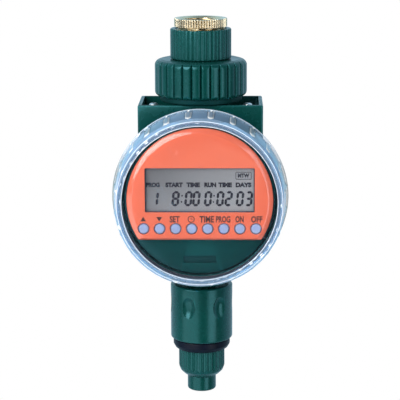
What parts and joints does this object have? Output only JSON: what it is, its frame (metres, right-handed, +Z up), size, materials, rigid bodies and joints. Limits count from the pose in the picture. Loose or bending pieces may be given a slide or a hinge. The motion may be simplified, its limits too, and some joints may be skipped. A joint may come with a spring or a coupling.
{
  "type": "drip irrigation timer",
  "caption": "Tap-mounted drip irrigation timer: ball valve driven by a gear motor, display module under a clear screw lid, hose quick connector below.",
  "frame": {"origin": "middle of the underside of the part's bounding box, level with the end face of the hose nut", "axes": "+Z up along the flow axis towards the tap, -Y out of the lid towards the user, +X to the user's right"},
  "size_m": [0.0912, 0.0701, 0.2021],
  "materials": {
    "green_plastic": "glossy moulded bottle green",
    "dark_green": "satin moulded dark green",
    "orange_plastic": "glossy coral orange",
    "clear_plastic": "clear, polished, slightly blue",
    "brass": "turned and knurled, bright",
    "steel": "zinc plated",
    "rubber": "matt, near black navy",
    "silicone": "soft pale blue silicone",
    "white_plastic": "natural acetal",
    "lcd": "grey reflective display with a polariser film",
    "board": "green solder mask",
    "battery": "printed steel jacket"
  },
  "bodies": {
    "housing": {"valve_body": "dark_green", "valve_tailpiece": "dark_green", "seat_upper": "white_plastic", "seat_lower": "white_plastic", "gearbox_base": "white_plastic", "gearbox_cover": "white_plastic", "dc_motor": "steel", "limit_switch": "rubber", "gearbox_screw_1": "steel", "gearbox_screw_2": "steel", "front_housing": "green_plastic", "rear_housing": "green_plastic", "housing_gasket": "rubber", "valve_screw_1": "steel", "valve_screw_2": "steel", "back_screw_1": "steel", "back_screw_2": "steel", "back_screw_3": "steel", "back_screw_4": "steel", "module_face": "green_plastic", "faceplate": "orange_plastic", "display_window": "clear_plastic", "lcd_glass": "lcd", "circuit_board": "board", "module_back": "dark_green", "battery_door": "dark_green", "battery_1": "battery", "battery_2": "battery", "module_seal": "rubber", "module_screw_1": "steel", "module_screw_2": "steel", "outlet_nipple": "dark_green", "nipple_o_ring": "rubber"},
    "lid_carrier": {"lid_seal": "rubber"},
    "lid": {"lid": "clear_plastic"},
    "inlet_stack": {"tap_adapter": "green_plastic", "brass_reducer": "brass", "inlet_washer": "rubber", "inlet_filter": "white_plastic"},
    "swivel_nut": {"swivel_nut": "green_plastic"},
    "connector": {"connector_core": "dark_green", "connector_ring": "rubber"},
    "connector_sleeve": {"connector_sleeve": "green_plastic"},
    "grip_collet": {"grip_collet": "white_plastic"},
    "hose_nut": {"hose_nut": "green_plastic"},
    "valve_drive": {"valve_ball": "white_plastic", "valve_stem": "white_plastic", "stem_o_ring": "rubber", "output_gear": "white_plastic"},
    "gear_2": {"gear_2": "white_plastic"},
    "gear_1": {"gear_1": "white_plastic"},
    "motor_pinion": {"motor_pinion": "brass"},
    "button_1": {"button_1": "silicone"},
    "button_2": {"button_2": "silicone"},
    "button_3": {"button_3": "silicone"},
    "button_4": {"button_4": "silicone"},
    "button_5": {"button_5": "silicone"},
    "button_6": {"button_6": "silicone"},
    "button_7": {"button_7": "silicone"},
    "button_8": {"button_8": "silicone"}
  },
  "joints": [
    {"name": "lid_lift", "type": "slide", "parent": "housing", "child": "lid_carrier", "axis": [0, -1, 0], "range_m": [0, 0.0155]},
    {"name": "lid_turn", "type": "hinge", "parent": "lid_carrier", "child": "lid", "pos_m": [0, 0.0109, 0.1125], "axis": [0, -1, 0], "range_deg": [0, 450]},
    {"name": "nut_lift", "type": "slide", "parent": "housing", "child": "inlet_stack", "axis": [0, 0, 1], "range_m": [0, 0.012]},
    {"name": "nut_turn", "type": "hinge", "parent": "inlet_stack", "child": "swivel_nut", "pos_m": [0, 0.0109, 0.1705], "axis": [0, 0, 1], "range_deg": [0, 1800]},
    {"name": "connector_swivel", "type": "hinge", "parent": "housing", "child": "connector", "pos_m": [0, 0.0109, 0.0525], "axis": [0, 0, 1], "continuous": true},
    {"name": "sleeve_slide", "type": "slide", "parent": "connector", "child": "connector_sleeve", "axis": [0, 0, -1], "range_m": [0, 0.0035], "stiffness_N_per_m": 400, "springref_m": -0.004},
    {"name": "hose_nut_lift", "type": "slide", "parent": "connector", "child": "grip_collet", "axis": [0, 0, -1], "range_m": [0, 0.0105]},
    {"name": "hose_nut_turn", "type": "hinge", "parent": "grip_collet", "child": "hose_nut", "pos_m": [0, 0.0109, 0.0125], "axis": [0, 0, -1], "range_deg": [0, 1440]},
    {"name": "valve_turn", "type": "hinge", "parent": "housing", "child": "valve_drive", "pos_m": [0, 0.0109, 0.1205], "axis": [0, -1, 0], "range_deg": [0, 90]},
    {"name": "gear_2_turn", "type": "hinge", "parent": "housing", "child": "gear_2", "pos_m": [0.0072, 0.0109, 0.10803], "axis": [0, -1, 0], "range_deg": [-275, 5]},
    {"name": "gear_1_turn", "type": "hinge", "parent": "housing", "child": "gear_1", "pos_m": [0.01833, 0.0109, 0.10211], "axis": [0, -1, 0], "range_deg": [-5, 680]},
    {"name": "motor_turn", "type": "hinge", "parent": "housing", "child": "motor_pinion", "pos_m": [0.02094, 0.0109, 0.11444], "axis": [0, -1, 0], "range_deg": [-1695, 5]},
    {"name": "button_1_press", "type": "slide", "parent": "housing", "child": "button_1", "axis": [0, 1, 0], "range_m": [0, 0.0008], "stiffness_N_per_m": 600, "springref_m": -0.0005},
    {"name": "button_2_press", "type": "slide", "parent": "housing", "child": "button_2", "axis": [0, 1, 0], "range_m": [0, 0.0008], "stiffness_N_per_m": 600, "springref_m": -0.0005},
    {"name": "button_3_press", "type": "slide", "parent": "housing", "child": "button_3", "axis": [0, 1, 0], "range_m": [0, 0.0008], "stiffness_N_per_m": 600, "springref_m": -0.0005},
    {"name": "button_4_press", "type": "slide", "parent": "housing", "child": "button_4", "axis": [0, 1, 0], "range_m": [0, 0.0008], "stiffness_N_per_m": 600, "springref_m": -0.0005},
    {"name": "button_5_press", "type": "slide", "parent": "housing", "child": "button_5", "axis": [0, 1, 0], "range_m": [0, 0.0008], "stiffness_N_per_m": 600, "springref_m": -0.0005},
    {"name": "button_6_press", "type": "slide", "parent": "housing", "child": "button_6", "axis": [0, 1, 0], "range_m": [0, 0.0008], "stiffness_N_per_m": 600, "springref_m": -0.0005},
    {"name": "button_7_press", "type": "slide", "parent": "housing", "child": "button_7", "axis": [0, 1, 0], "range_m": [0, 0.0008], "stiffness_N_per_m": 600, "springref_m": -0.0005},
    {"name": "button_8_press", "type": "slide", "parent": "housing", "child": "button_8", "axis": [0, 1, 0], "range_m": [0, 0.0008], "stiffness_N_per_m": 600, "springref_m": -0.0005}
  ],
  "couplings": [
    {"joint": "lid_lift", "follows": "lid_turn", "m_per_rad": 0.0019099},
    {"joint": "nut_lift", "follows": "nut_turn", "m_per_rad": 0.00036749},
    {"joint": "hose_nut_lift", "follows": "hose_nut_turn", "m_per_rad": 0.00039789},
    {"joint": "gear_2_turn", "follows": "valve_turn", "ratio": -3},
    {"joint": "gear_1_turn", "follows": "valve_turn", "ratio": 7.5},
    {"joint": "motor_turn", "follows": "valve_turn", "ratio": -18.75}
  ]
}
